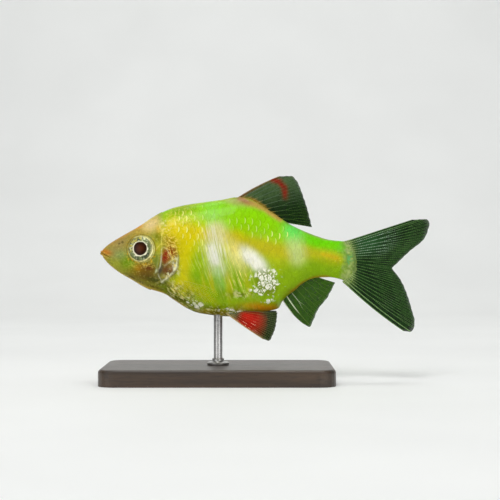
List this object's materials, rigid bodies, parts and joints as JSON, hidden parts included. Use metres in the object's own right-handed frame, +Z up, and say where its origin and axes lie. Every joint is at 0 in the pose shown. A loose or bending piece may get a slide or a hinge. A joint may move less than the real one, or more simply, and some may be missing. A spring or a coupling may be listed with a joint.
{
  "type": "tiger barb fish model",
  "caption": "Life-size still model of a green-strain tiger barb, a deep-bodied small aquarium fish with clear rayed fins, held by a rod on a flat display base.",
  "frame": {"origin": "centre of the bounding box at the level of the base's underside", "axes": "+X from the snout towards the tail, +Y from the fish's left side to its right, +Z up"},
  "size_m": [0.0602, 0.024, 0.0375],
  "materials": {
    "skin_head": "satin, olive and gold",
    "skin_trunk": "satin, lime green and gold with pale bars",
    "skin_stalk": "satin, green and gold",
    "gill_cover": "satin, red-brown with a silver rim",
    "eye": "high gloss, silver and grey-green iris, dark red-brown pupil",
    "clear_fin": "clear smoky green membrane with rays",
    "red_fin": "red membrane with a clear edge",
    "pale_fin": "clear pale membrane with rays",
    "stand_base": "satin black stain",
    "stand_rod": "fine brushed"
  },
  "bodies": {
    "root": {"head": "skin_head", "trunk": "skin_trunk", "tail_stalk": "skin_stalk", "gill_cover_left": "gill_cover", "gill_cover_right": "gill_cover", "eye_left": "eye", "eye_right": "eye", "dorsal_fin": "clear_fin", "anal_fin": "clear_fin", "tail_fin_upper": "clear_fin", "tail_fin_lower": "clear_fin", "pelvic_fin_left": "red_fin", "pelvic_fin_right": "red_fin", "pectoral_fin_left": "pale_fin", "pectoral_fin_right": "pale_fin", "stand_base": "stand_base", "stand_rod": "stand_rod"}
  },
  "joints": []
}
